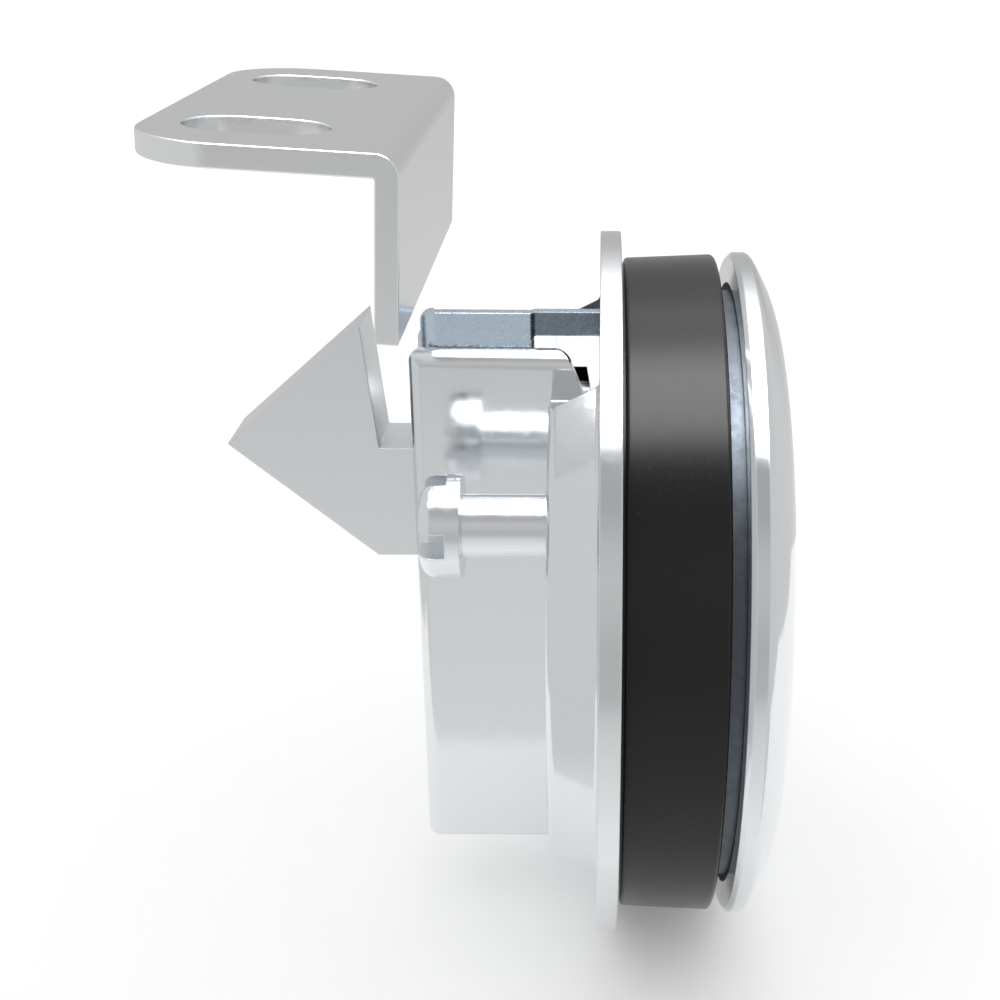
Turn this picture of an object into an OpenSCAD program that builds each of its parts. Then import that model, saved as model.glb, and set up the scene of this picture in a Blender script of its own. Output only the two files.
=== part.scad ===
/* [Bezel] */
// Radius of the bezel's rim
bezel_r = 34; // [33.6:0.1:34.6]
// Bevel of the bezel's back edge
bezel_bevel = 0.5; // [0.3:0.1:0.8]
// Height of the straight rim
bezel_rim_h = 1.6; // [1.4:0.1:2]
// Height of the dome's crown above the panel seat
bezel_crown_h = 4.95; // [4.8:0.05:5.4]
// Radius of the flat crown
bezel_crown_r = 19; // [18:0.5:20]
// Width of the paddle's opening
opening_w = 38; // [37:0.5:39]
// Height of the paddle's opening
opening_h = 40; // [39.5:0.5:41]
// Corner radius of the opening
opening_corner_r = 9; // [8:0.5:10]
// Thickness of the pan's floor and walls
pan_wall = 1.6; // [1.4:0.1:1.8]
// Depth of the finger well behind the panel seat
well_depth = 7.5; // [6:0.25:7.5]
// Height on the face at which the finger well ends
well_top_z = 0; // [-1:0.5:1]
// Lower edge of the floor's window for the hinge
floor_cut_z = 9.5; // [9:0.25:10]
// Height of the floor's window for the hinge
floor_cut_h = 9.4; // [9:0.1:9.6]

/* [Panel stack] */
// Thickness of the panel that the latch clamps
panel_t = 1.5; // [1.2:0.1:2]
// Width of the spacer ring
ring_w = 9.3; // [9:0.1:9.6]
// Outer radius of the spacer ring at the flange
ring_back_r = 33.4; // [33:0.1:33.8]
// Outer radius of the spacer ring at the panel
ring_front_r = 33.76; // [33.5:0.02:33.9]
// Inner radius of the spacer ring
ring_bore_r = 30.4; // [30.2:0.1:31]
// Edge rounding of the spacer ring
ring_edge = 0.4; // [0.2:0.1:0.6]

/* [Rear housing] */
// Radius of the flange disc
flange_r = 36; // [35.5:0.25:37]
// Thickness of the flange disc
flange_t = 2; // [1.8:0.1:2.4]
// Edge bevel of the flange disc
flange_edge = 0.3; // [0.2:0.05:0.4]
// Height of the round boss behind the flange
boss_h = 5.1; // [4.8:0.1:5.4]
// Radius of the boss at the flange
boss_foot_r = 30.3; // [30:0.1:31]
// Radius of the boss at its back face, before the rounding
boss_back_r = 28.95; // [28.6:0.05:29.2]
// Rounding of the boss's back edge
boss_edge = 1.3; // [1:0.1:1.5]
// Fillet between the boss and the flange
boss_fillet = 0.5; // [0.3:0.1:0.6]
// Wall of the hollowed boss
boss_wall = 2; // [1.8:0.1:2.2]
// Radius of the hollow in the boss
boss_hollow_r = 26.4; // [26:0.1:26.6]
// Width of the valley in the boss's top
valley_w = 31; // [30:0.5:32]
// Height of the valley's floor above the centre
valley_z = 20.6; // [20.4:0.1:20.8]
// Depth of the housing box behind the boss
box_depth = 13.3; // [13.1:0.1:13.5]
// Width of the housing box
box_w = 11.3; // [11:0.1:11.8]
// Top of the housing box
box_top_z = 26.45; // [26.4:0.05:26.7]
// Bottom of the housing box
box_bottom_z = -28; // [-28.2:0.1:-27.8]
// Rounding of the box's edges
box_edge = 1.5; // [1.2:0.1:1.5]
// Wall at the back of the box
box_back_wall = 1.6; // [1.5:0.05:1.7]
// Floor of the box below the springs
box_floor = 3.1; // [2.9:0.1:3.3]
// Lower edge of the bolt's opening in the back wall
bolt_opening_z = -3.8; // [-4.4:0.1:-3.5]
// Half width of the solid core around the slider
core_half = 10.5; // [10.2:0.1:10.8]
// Width of the arm's window in the flange
window_w = 10; // [9.6:0.1:10.4]
// Top of the arm's window in the flange
window_top_z = 31.2; // [31:0.1:31.6]

/* [Bolt] */
// Thickness of the bolt
bolt_t = 8; // [7.8:0.1:8.2]
// Clearance between the bolt and each housing wall
bolt_clear = 0.1; // [0.1:0.02:0.14]
// Reach of the bolt's tip behind the panel seat
bolt_tip_x = 49.5; // [48.5:0.25:51]
// Height of the bolt's tip
bolt_tip_z = 16.4; // [15.5:0.1:17]
// Reach of the bolt's top corner
bolt_top_x = 35.8; // [35.6:0.1:36]
// Height of the bolt's top corner
bolt_top_z = 28.4; // [28:0.1:29]
// Reach of the notch's inner corner
notch_x = 34.5; // [34.3:0.1:34.7]
// Height of the notch's floor
notch_z = 16.05; // [15.9:0.05:16.1]
// Height of the bolt's lower edge
bolt_low_z = 4.57; // [4.5:0.01:5]
// Reach of the bolt's lower corner
bolt_low_x = 35.2; // [34.8:0.1:36]
// Clearance between the slider and the walls before and behind it
slider_clear = 0.2; // [0.15:0.05:0.3]
// Bottom of the slider
slider_bottom_z = -8; // [-8.2:0.1:-7.6]
// Height of the slider's stop shoulder
shoulder_z = 12; // [11.6:0.1:12.4]
// Length of the slider's stop shoulder
shoulder_len = 5.8; // [5.4:0.1:6]
// Width of the saddle under the contact pin
saddle_w = 6; // [5.6:0.1:6.4]
// Height of the saddle above the notch's floor
saddle_h = 2.35; // [2.2:0.05:2.4]
// Radius of the contact pin
contact_r = 2; // [1.9:0.05:2]
// Height of the contact pin's axis
contact_z = 18; // [17.95:0.05:18]

/* [Bolt springs] */
// Mean radius of the bolt springs
coil_r = 2.4; // [2.3:0.05:2.45]
// Wire radius of the bolt springs
coil_wire_r = 0.4; // [0.35:0.01:0.42]
// Turns of each bolt spring
coil_turns = 8; // [6:1:10]
// Radius of the spring pockets in the slider
pocket_r = 3; // [2.95:0.01:3.1]
// Top of the spring pockets
pocket_top_z = 0; // [-0.5:0.1:0.5]
// Distance of each spring from the slider's ends
pocket_inset = 4.1; // [4:0.05:4.3]
// Radius of the guide pins
guide_r = 1.4; // [1.2:0.05:1.5]
// Height of the guide pins' tips
guide_top_z = -12; // [-13:0.25:-12]
// Depth of the guide pins' bores in the floor
guide_bore_h = 2.4; // [2:0.1:2.4]

/* [Paddle] */
// Height of the hinge axis above the centre
hinge_z = 16; // [15.9:0.05:16]
// Distance of the hinge axis behind the panel seat
hinge_x = 4; // [3.95:0.05:4.1]
// Thickness of the paddle's plate
paddle_t = 2.7; // [2.5:0.05:2.7]
// Lower edge of the paddle
paddle_low_z = -6.5; // [-8:0.25:-5.5]
// Gap above the paddle that its swing needs
paddle_swing_gap = 3.6; // [3.6:0.1:4]
// Gap between the paddle and the opening's sides
paddle_gap = 0.3; // [0.3:0.05:0.5]
// Bevel of the paddle's outer edges
paddle_bevel = 0.8; // [0.4:0.1:1]
// Outer radius of the paddle's hinge eyes
eye_r = 3.3; // [3.2:0.05:3.4]
// Width of each ear of the paddle
ear_w = 2.2; // [2:0.05:2.2]
// Outer face of the ears, from the centre plane
ear_out_y = 8.6; // [8.55:0.05:8.65]
// Width of the paddle's middle lug
lug_w = 5; // [4.8:0.1:5.1]
// Radius of the hinge pin
pin_r = 1.5; // [1.4:0.05:1.5]
// Radial running clearance of the hinge
hinge_clear = 0.05; // [0.03:0.01:0.08]
// Radial clearance of parts that are pressed or bonded in
seat_clear = 0.01; // [0.01:0.005:0.02]
// Half length of the hinge pin
pin_half = 12.4; // [12.2:0.05:12.5]
// Width of each bearing lug on the bezel
bearing_w = 2.1; // [1.9:0.05:2.1]
// Radius of the bearing lugs on the bezel
bearing_r = 3.4; // [3.3:0.05:3.4]
// Thickness of the retaining clips
clip_t = 0.6; // [0.5:0.05:0.7]
// Radius of the retaining clips
clip_r = 3; // [2.6:0.1:3.2]
// Depth of the pin's grooves for the clips
groove_depth = 0.4; // [0.3:0.05:0.45]
// Radius of the rubber bumper
bumper_r = 2.2; // [1.8:0.1:2.4]
// Height of the bumper's axis on the pan's floor
bumper_z = 4.8; // [4.4:0.1:5]
// Depth of the bumper's seat in the pan's floor
bumper_seat = 0.9; // [0.7:0.05:1]

/* [Paddle springs] */
// Mean radius of the torsion springs
torsion_r = 2.35; // [2.3:0.05:2.45]
// Wire radius of the torsion springs
torsion_wire_r = 0.45; // [0.4:0.01:0.46]
// Spacing of the torsion springs' turns
torsion_pitch = 0.95; // [0.92:0.01:0.97]
// Middle of each torsion spring, from the centre plane
torsion_y = 4.9; // [4.89:0.01:4.94]

/* [Release arm] */
// Thickness of the arm's steel strip
arm_t = 1.4; // [1.3:0.05:1.4]
// Near face of the arm's back part, from the centre plane
arm_back_y = 3.85; // [3.8:0.05:3.85]
// Near face of the arm's front part, from the centre plane
arm_front_y = 3.4; // [3.35:0.05:3.45]
// Top of the arm
arm_top_z = 29.7; // [29.5:0.1:29.8]
// Height of the strip that passes the flange
arm_strip_h = 2.3; // [2.2:0.1:2.6]
// Back end of the arm
arm_end_x = 29.7; // [29.4:0.1:29.8]
// Front end of the arm's back part
arm_step_x = 19.4; // [19.2:0.1:19.6]
// Length of the joggle in the strip
arm_joggle = 0.8; // [0.6:0.1:1]
// Corner rounding of the arm
arm_corner = 1.3; // [1:0.1:1.3]
// Outer radius of the arm's bend at its back end
arm_bend_r = 2; // [1.5:0.1:2.4]
// Gap between the closed arm's foot and the contact pin
foot_gap = 0.3; // [0.25:0.05:0.4]
// Thickness of the arm's foot
foot_t = 1.5; // [1.3:0.1:1.6]
// Back edge of the arm's upright, behind the hinge axis
upright_back = 3.5; // [3.4:0.05:3.5]
// Front edge of the arm's upright, before the hinge axis
upright_front = 3.4; // [3.2:0.05:3.4]
// Corner cut of the arm's upright
upright_cut = 2; // [1.8:0.1:2.6]
// Radius of the rivets' shanks
rivet_r = 1; // [0.9:0.05:1.1]
// Radius of the rivets' heads
rivet_head_r = 1.8; // [1.6:0.1:1.9]
// Height of the rivets' heads
rivet_head_h = 0.8; // [0.6:0.1:0.9]
// Height of the lower rivet above the hinge axis
rivet_low = 4.6; // [4.5:0.1:4.8]
// Distance between the two rivets
rivet_pitch = 3.9; // [3.8:0.05:4]

/* [Retainer] */
// Thickness of the retainer plate
retainer_t = 1.2; // [1:0.05:1.2]
// Width of the retainer plate
retainer_w = 19; // [18.6:0.1:19.4]
// Bottom edge of the retainer plate
retainer_low_z = -27; // [-27.2:0.1:-26.8]
// Top edge of the retainer plate
retainer_top_z = 19; // [18.8:0.1:19.2]
// Corner radius of the retainer plate
retainer_corner = 2.4; // [2:0.1:2.6]
// Length of the stop tongue
tongue_len = 5.3; // [5:0.1:5.4]
// Thickness of the stop tongue
tongue_t = 1.5; // [1.3:0.1:1.7]
// Gap between the shoulder and the stop tongue
stop_gap = 0.1; // [0.1:0.02:0.2]
// Sideways distance of the retainer screws
retainer_screw_y = 7; // [6.9:0.05:7.1]
// Inset of the retainer screws from the plate's ends
retainer_screw_inset = 5; // [4.8:0.1:5.2]
// Shank radius of the retainer screws
retainer_screw_r = 1.5; // [1.3:0.05:1.5]
// Head radius of the retainer screws
retainer_head_r = 2.5; // [2.3:0.05:2.5]
// Length of the retainer screws
retainer_screw_len = 5.4; // [5:0.1:5.6]

/* [Clamp screws] */
// Sideways distance of the clamp screws
clamp_y = 18; // [17.9:0.05:18.1]
// Height of the clamp screws
clamp_z = 13.65; // [13.5:0.05:13.8]
// Radius of the clamp screws' shanks
clamp_r = 2.95; // [2.9:0.01:2.96]
// Radius of the clamp screws' heads
clamp_head_r = 4.72; // [4.6:0.02:4.8]
// Height of the clamp screws' heads
clamp_head_h = 3.74; // [3.6:0.02:3.9]
// Rounding of the clamp screws' heads
clamp_head_edge = 1.4; // [1:0.1:1.6]
// Distance of the head's bearing face behind the panel seat
clamp_seat_x = 25.16; // [24.8:0.02:25.4]
// Gap between the screw's end and the panel seat
clamp_end_x = 0.1; // [0.1:0.05:0.3]
// Width of the cross slots
clamp_slot_w = 1.6; // [1.2:0.1:1.8]
// Depth of the cross slots
clamp_slot_depth = 2.4; // [1.8:0.1:2.6]
// Turn of the cross slots
clamp_slot_turn = 28; // [0:1:45]
// Radius of the clearance holes in the boss
clamp_hole_r = 3.3; // [3.2:0.05:3.4]
// Radius of the pillars round the clearance holes
clamp_pillar_r = 6; // [5.8:0.1:6.2]
// Radius of the bezel's posts
post_r = 5.2; // [5.1:0.1:5.4]
// Reach of the bezel's posts behind the panel seat
post_len = 9.5; // [9:0.1:9.5]
// Radius of the brass inserts
insert_r = 3.9; // [3.8:0.05:4]
// Bore radius of the brass inserts
insert_bore_r = 3; // [3:0.01:3.02]
// Length of the brass inserts
insert_len = 8; // [7.5:0.1:8.4]
// Depth of the posts' bores into the pan's floor
post_bore_over = 0.2; // [0.1:0.05:0.3]

/* [Strike] */
// Width of the strike
strike_w = 50; // [49:0.5:52]
// Thickness of the strike
strike_t = 2; // [1.8:0.1:2.2]
// Reach of the strike's bend behind the panel seat
strike_x = 28.48; // [28:0.02:29]
// Height of the strike's bend
strike_z = 47.8; // [47.6:0.05:49]
// Tilt of the strike
strike_tilt = 3.09; // [0:0.01:4]
// Length of the strike's top plate
strike_top_len = 22.5; // [22:0.25:24]
// Height of the strike's leg
strike_leg_h = 15.4; // [15:0.1:15.6]
// Outer radius of the strike's bend
strike_bend_r = 2; // [1.4:0.1:2.4]
// Corner radius of the strike's top plate
strike_corner_r = 8; // [6:0.5:8.5]
// Length of the strike's slots
slot_len = 12.4; // [11:0.1:13]
// Width of the strike's slots
slot_w = 8.5; // [7:0.1:9]
// Distance of the slots from the bend
slot_x = 13.2; // [12.8:0.1:13.4]
// Sideways distance of the slots
slot_y = 14.6; // [14:0.1:15]

/* [Hidden] */
$fn = 96;
cut = 0.01;
over = 1;
half = 1 / 2;
wire_sides = 8;
wire_steps = 16;
arc_steps = 6;

ring_back_x = -panel_t - ring_w;
flange_back_x = ring_back_x - flange_t;
boss_back_x = flange_back_x - boss_h;
box_back_x = boss_back_x - box_depth;
cavity_back_x = box_back_x + box_back_wall;
cavity_floor_z = box_bottom_z + box_floor;
cavity_half = bolt_t * half + bolt_clear;
slider_back_x = cavity_back_x + slider_clear;
slider_front_x = ring_back_x - slider_clear;
spring_back_x = slider_back_x + pocket_inset;
spring_front_x = slider_front_x - pocket_inset;
lever = 20;
contact_x = -hinge_x - lever;
contact_len = bolt_t - 4 * bolt_clear;
paddle_front_x = bezel_crown_h;
paddle_back_x = paddle_front_x - paddle_t;
opening_top_z = opening_h * half;
well_back_x = -well_depth - pan_wall;
floor_half = ear_out_y + paddle_gap;
bearing_in_y = floor_half + seat_clear * 2;
bearing_out_y = bearing_in_y + bearing_w;
clip_y = bearing_out_y + seat_clear * 4;
retainer_face_x = ring_back_x + retainer_t;
retainer_screw_z = [retainer_low_z + retainer_screw_inset, retainer_top_z - retainer_screw_inset];
foot_z = contact_z + contact_r + foot_gap;
lug_far_y = lug_w - arm_front_y + arm_t;
rivet_x = -hinge_x - 0.2;
rivet_pad_r = rivet_head_r + 1;
horn_x = 0.8;
horn_z = 6.95;
horn_r = 1.6;
horn_tip_x = -hinge_x + horn_x;
hook_gap = 0.22;
hook_x = horn_tip_x - horn_r - torsion_wire_r - hook_gap;
leg_low_z = 5;
torsion_exit = 30;
torsion_turns = 2;

function arc(x, y, r, a0, a1) =
  [for (i = [0 : arc_steps]) let (a = a0 + (a1 - a0) * i / arc_steps)
    [x + r * cos(a), y + r * sin(a)]];

function unit(v) = v / norm(v);

module rod_x(x0, x1, y, z, r) {
  translate([x0, y, z])
    rotate([0, 90, 0])
      cylinder(h = x1 - x0, r = r);
}

module cone_x(x0, x1, y, z, r0, r1) {
  translate([x0, y, z])
    rotate([0, 90, 0])
      cylinder(h = x1 - x0, r1 = r0, r2 = r1);
}

module rod_y(y0, y1, x, z, r) {
  translate([x, y0, z])
    rotate([-90, 0, 0])
      cylinder(h = y1 - y0, r = r);
}

module rod_z(z0, z1, x, y, r) {
  translate([x, y, z0])
    cylinder(h = z1 - z0, r = r);
}

module revolve_x(y, z) {
  translate([0, y, z])
    rotate([0, 90, 0])
      rotate_extrude()
        children();
}

// Extrudes an (y, z) outline from x0 to x1
module slab_x(x0, x1) {
  translate([x0, 0, 0])
    rotate([90, 0, 90])
      linear_extrude(x1 - x0)
        children();
}

// Extrudes an (x, z) outline from y0 to y1
module slab_y(y0, y1) {
  translate([0, y1, 0])
    rotate([90, 0, 0])
      linear_extrude(y1 - y0)
        children();
}

module block(x0, x1, y0, y1, z0, z1) {
  translate([x0, y0, z0])
    cube([x1 - x0, y1 - y0, z1 - z0]);
}

module rounded_rect(w, h, r) {
  square([w - 2 * r, h], center = true);
  square([w, h - 2 * r], center = true);
  for (a = [-1, 1], b = [-1, 1])
    translate([a * (w * half - r), b * (h * half - r)])
      circle(r);
}

// Two circles joined by their outer tangents
module strap(c0, r0, c1, r1) {
  span = norm(c1 - c0);
  lean = atan2(c1[1] - c0[1], c1[0] - c0[0]);
  open = acos((r0 - r1) / span);
  up = [cos(lean + open), sin(lean + open)];
  down = [cos(lean - open), sin(lean - open)];
  polygon([c0 + r0 * up, c1 + r1 * up, c1 + r1 * down, c0 + r0 * down]);
  translate(c0)
    circle(r0);
  translate(c1)
    circle(r1);
}

// Round wire along a list of points
module wire(path, r) {
  last = len(path) - 1;
  dirs = [for (i = [0 : last])
    unit(path[min(i + 1, last)] - path[max(i - 1, 0)])];
  sides = [for (d = dirs) unit(cross(d, abs(d[1]) > 0.9 ? [0, 0, 1] : [0, 1, 0]))];
  points = [for (i = [0 : last], k = [0 : wire_sides - 1])
    let (a = 360 * k / wire_sides, other = cross(dirs[i], sides[i]))
    path[i] + r * (cos(a) * sides[i] + sin(a) * other)];
  walls = [for (i = [0 : last - 1], k = [0 : wire_sides - 1])
    let (next = (k + 1) % wire_sides, a = i * wire_sides, b = a + wire_sides)
    [a + next, a + k, b + k, b + next]];
  first_cap = [for (k = [0 : wire_sides - 1]) k];
  last_cap = [for (k = [wire_sides - 1 : -1 : 0]) last * wire_sides + k];
  polyhedron(points = points, faces = concat([first_cap], walls, [last_cap]), convexity = 8);
}

module opening_outline(gap) {
  rounded_rect(opening_w - 2 * gap, opening_h - 2 * gap, opening_corner_r - gap);
}

module well_outline(gap) {
  intersection() {
    opening_outline(gap);
    translate([-opening_w, well_top_z - gap - 2 * opening_h])
      square([2 * opening_w, 2 * opening_h]);
  }
}

module dome() {
  flat_r = bezel_crown_r;
  fall = bezel_crown_h - bezel_rim_h;
  run = bezel_r - flat_r;
  rim = [for (i = [0 : 4 * arc_steps]) let (a = 90 * i / (4 * arc_steps))
    [flat_r + run * cos(a), bezel_rim_h + fall * sin(a)]];
  revolve_x(0, 0)
    polygon(concat([[0, 0], [bezel_r - bezel_bevel, 0], [bezel_r, bezel_bevel]], rim,
      [[0, bezel_crown_h]]));
}

module bezel() {
  color([0.82, 0.84, 0.87])
    difference() {
      union() {
        dome();
        slab_x(well_back_x, cut)
          well_outline(-pan_wall);
        for (s = [-1, 1]) {
          rod_x(-post_len, cut, s * clamp_y, clamp_z, post_r);
          bearing(s);
        }
      }
      slab_x(bezel_rim_h, bezel_crown_h + over)
        opening_outline(0);
      slab_x(-well_depth, bezel_crown_h)
        well_outline(0);
      block(-over, bezel_rim_h + over, -floor_half, floor_half, floor_cut_z,
        floor_cut_z + floor_cut_h);
      rod_x(bezel_rim_h - bumper_seat, bezel_crown_h, 0, bumper_z, bumper_r + seat_clear);
      rod_y(-pin_half - over, pin_half + over, -hinge_x, hinge_z, pin_r + seat_clear);
      for (s = [-1, 1])
        rod_x(-post_len - over, post_bore_over, s * clamp_y, clamp_z, insert_r + seat_clear);
    }
}

module bearing(s) {
  y0 = s > 0 ? bearing_in_y : -bearing_out_y;
  rod_y(y0, y0 + bearing_w, -hinge_x, hinge_z, bearing_r);
  block(-hinge_x, cut, y0, y0 + bearing_w, hinge_z - bearing_r, hinge_z + bearing_r);
}

module spacer_ring() {
  color([0.05, 0.05, 0.05])
    revolve_x(0, 0)
      polygon([
        [ring_bore_r, ring_back_x],
        [ring_back_r - ring_edge, ring_back_x],
        [ring_back_r, ring_back_x + ring_edge],
        [ring_front_r, -panel_t - ring_edge],
        [ring_front_r - ring_edge, -panel_t],
        [ring_bore_r, -panel_t]]);
}

module housing_round() {
  revolve_x(0, 0)
    polygon(concat(
      [[0, boss_back_x]],
      arc(boss_back_r - boss_edge, boss_back_x + boss_edge, boss_edge, -90, -15),
      [[boss_foot_r, flange_back_x - boss_fillet],
        [boss_foot_r + boss_fillet, flange_back_x],
        [flange_r - flange_edge, flange_back_x],
        [flange_r, flange_back_x + flange_edge],
        [flange_r, ring_back_x - flange_edge],
        [flange_r - flange_edge, ring_back_x],
        [0, ring_back_x]]));
}

module box_side_outline() {
  back = box_back_x;
  top = box_top_z;
  low = box_bottom_z;
  e = box_edge;
  polygon(concat(
    arc(back + e, low + e, e, 270, 180),
    arc(back + e, top - e, e, 180, 90),
    arc(boss_back_x - 0.5 * e, top - e, e, 90, 30),
    [[boss_back_x + 3.4, valley_z + e * half], [boss_back_x + 4, valley_z],
      [flange_back_x + cut, valley_z - cut], [flange_back_x + cut, low]]));
}

module housing_box() {
  e = box_edge;
  intersection() {
    slab_y(-box_w, box_w)
      box_side_outline();
    slab_x(box_back_x - over, ring_back_x)
      translate([0, box_top_z - box_w])
        union() {
          rounded_rect(box_w, 2 * box_w, e);
          translate([-box_w * half, -2 * box_top_z - box_w])
            square([box_w, 2 * box_top_z + box_w]);
        }
    translate([box_back_x + flange_r, 0, -flange_r])
      linear_extrude(2 * flange_r)
        rounded_rect(2 * flange_r, box_w, e);
  }
}

module housing_hollow() {
  difference() {
    rod_x(boss_back_x + boss_wall, ring_back_x + over, 0, 0, boss_hollow_r);
    block(box_back_x, 0, -core_half, core_half, -flange_r, flange_r);
    block(box_back_x, 0, -flange_r, flange_r, valley_z - boss_wall, flange_r);
    for (s = [-1, 1])
      rod_x(boss_back_x, 0, s * clamp_y, clamp_z, clamp_pillar_r);
  }
}

module rear_housing() {
  color([0.86, 0.87, 0.88])
    difference() {
      union() {
        difference() {
          housing_round();
          block(boss_back_x - over, flange_back_x, -valley_w * half, valley_w * half,
            valley_z, flange_r);
        }
        housing_box();
      }
      housing_hollow();
      block(cavity_back_x, ring_back_x + over, -cavity_half, cavity_half, cavity_floor_z,
        valley_z);
      block(cavity_back_x, flange_back_x, -cavity_half, cavity_half, valley_z - over,
        box_top_z + over);
      block(box_back_x - over, cavity_back_x + over, -cavity_half, cavity_half,
        bolt_opening_z, box_top_z + over);
      block(flange_back_x - over, ring_back_x + over, -window_w * half, window_w * half,
        valley_z, window_top_z);
      for (s = [-1, 1]) {
        rod_x(boss_back_x - over, ring_back_x + over, s * clamp_y, clamp_z, clamp_hole_r);
        for (z = retainer_screw_z)
          rod_x(retainer_face_x - retainer_screw_len, ring_back_x + over,
            s * retainer_screw_y, z, retainer_screw_r + seat_clear);
      }
      for (x = [spring_back_x, spring_front_x])
        rod_z(cavity_floor_z - guide_bore_h, cavity_floor_z + over, x, 0,
          guide_r + seat_clear);
    }
}

module bolt_outline() {
  polygon([
    [-bolt_tip_x, bolt_tip_z],
    [-bolt_top_x, bolt_top_z],
    [-notch_x, notch_z],
    [contact_x - saddle_w * half, notch_z],
    [contact_x - saddle_w * half, notch_z + saddle_h],
    [contact_x + saddle_w * half, notch_z + saddle_h],
    [contact_x + saddle_w * half, notch_z],
    [slider_front_x - shoulder_len, notch_z],
    [slider_front_x - shoulder_len, shoulder_z],
    [slider_front_x, shoulder_z],
    [slider_front_x, slider_bottom_z],
    [slider_back_x, slider_bottom_z],
    [slider_back_x, bolt_low_z],
    [-bolt_low_x, bolt_low_z]]);
}

module bolt() {
  color([0.8, 0.8, 0.8])
    difference() {
      slab_y(-bolt_t * half, bolt_t * half)
        bolt_outline();
      rod_y(-bolt_t, bolt_t, contact_x, contact_z, contact_r + seat_clear);
      for (x = [spring_back_x, spring_front_x])
        rod_z(slider_bottom_z - over, pocket_top_z, x, 0, pocket_r);
    }
}

module contact_pin() {
  color([0.6, 0.6, 0.62])
    rod_y(-contact_len * half, contact_len * half, contact_x, contact_z, contact_r);
}

module bolt_spring(x) {
  low = cavity_floor_z + coil_wire_r + seat_clear;
  rise = pocket_top_z - coil_wire_r - seat_clear - low;
  steps = coil_turns * wire_steps;
  color([0.55, 0.56, 0.58])
    wire([for (i = [0 : steps]) let (a = 360 * i / wire_steps)
      [x + coil_r * cos(a), coil_r * sin(a), low + rise * i / steps]], coil_wire_r);
}

module bolt_spring_front() {
  bolt_spring(spring_front_x);
}

module bolt_spring_rear() {
  bolt_spring(spring_back_x);
}

module guide_pin(x) {
  color([0.6, 0.6, 0.62]) {
    rod_z(cavity_floor_z - guide_bore_h, guide_top_z, x, 0, guide_r);
    translate([x, 0, guide_top_z])
      sphere(guide_r);
  }
}

module guide_pin_front() {
  guide_pin(spring_front_x);
}

module guide_pin_rear() {
  guide_pin(spring_back_x);
}

module retainer_plate() {
  mid = (retainer_low_z + retainer_top_z) * half;
  tongue_z = shoulder_z + stop_gap;
  color([0.55, 0.57, 0.6])
    difference() {
      union() {
        slab_x(ring_back_x, retainer_face_x)
          translate([0, mid])
            rounded_rect(retainer_w, retainer_top_z - retainer_low_z, retainer_corner);
        block(ring_back_x - tongue_len, ring_back_x + cut, -contact_len * half,
          contact_len * half, tongue_z, tongue_z + tongue_t);
      }
      for (s = [-1, 1], z = retainer_screw_z) {
        rod_x(ring_back_x - over, retainer_face_x + over, s * retainer_screw_y, z,
          retainer_screw_r + seat_clear);
        cone_x(ring_back_x + retainer_t * half * half, retainer_face_x + cut,
          s * retainer_screw_y, z, retainer_screw_r + seat_clear,
          retainer_head_r + seat_clear);
      }
    }
}

module retainer_screws() {
  color([0.5, 0.5, 0.52])
    for (s = [-1, 1], z = retainer_screw_z)
      difference() {
        union() {
          rod_x(retainer_face_x - retainer_screw_len + over * half, retainer_face_x,
            s * retainer_screw_y, z, retainer_screw_r);
          cone_x(ring_back_x + retainer_t * half * half, retainer_face_x,
            s * retainer_screw_y, z, retainer_screw_r, retainer_head_r);
        }
        block(retainer_face_x - retainer_t * half, retainer_face_x + over,
          s * retainer_screw_y - retainer_head_r, s * retainer_screw_y + retainer_head_r,
          z - retainer_screw_r * half * half, z + retainer_screw_r * half * half);
      }
}

module clamp_screw(y) {
  e = clamp_head_edge;
  back = -clamp_seat_x - clamp_head_h;
  difference() {
    revolve_x(y, clamp_z)
      polygon(concat(
        [[0, back]],
        arc(clamp_head_r - e, back + e, e, -90, 0),
        [[clamp_head_r, -clamp_seat_x], [clamp_r, -clamp_seat_x],
          [clamp_r, -clamp_end_x - clamp_r * half], [clamp_r * half, -clamp_end_x],
          [0, -clamp_end_x]]));
    for (turn = [0, 90])
      translate([back - over, y, clamp_z])
        rotate([turn + clamp_slot_turn, 0, 0])
          translate([0, -clamp_head_r - over, -clamp_slot_w * half])
            cube([clamp_slot_depth + over, 2 * (clamp_head_r + over), clamp_slot_w]);
  }
}

module clamp_screws() {
  color([0.8, 0.81, 0.83])
    for (s = [-1, 1])
      clamp_screw(s * clamp_y);
}

module thread_inserts() {
  color([0.75, 0.6, 0.3])
    for (s = [-1, 1])
      difference() {
        rod_x(-post_len, -post_len + insert_len, s * clamp_y, clamp_z, insert_r);
        rod_x(-post_len - over, 0, s * clamp_y, clamp_z, insert_bore_r);
      }
}

module paddle_outline(gap) {
  width = opening_w - 2 * gap;
  height = opening_h;
  intersection() {
    translate([0, opening_top_z - paddle_swing_gap - (gap - paddle_gap) - height * half])
      rounded_rect(width, height, opening_corner_r - gap);
    translate([-opening_w, paddle_low_z + gap - paddle_gap])
      square([2 * opening_w, opening_h]);
  }
}

module eye_outline(tip, tip_r) {
  axis = [-hinge_x, hinge_z];
  strap(axis, eye_r, axis + tip, tip_r);
  translate([-hinge_x, hinge_z - eye_r])
    square([paddle_back_x + hinge_x + cut, eye_r]);
}

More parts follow.
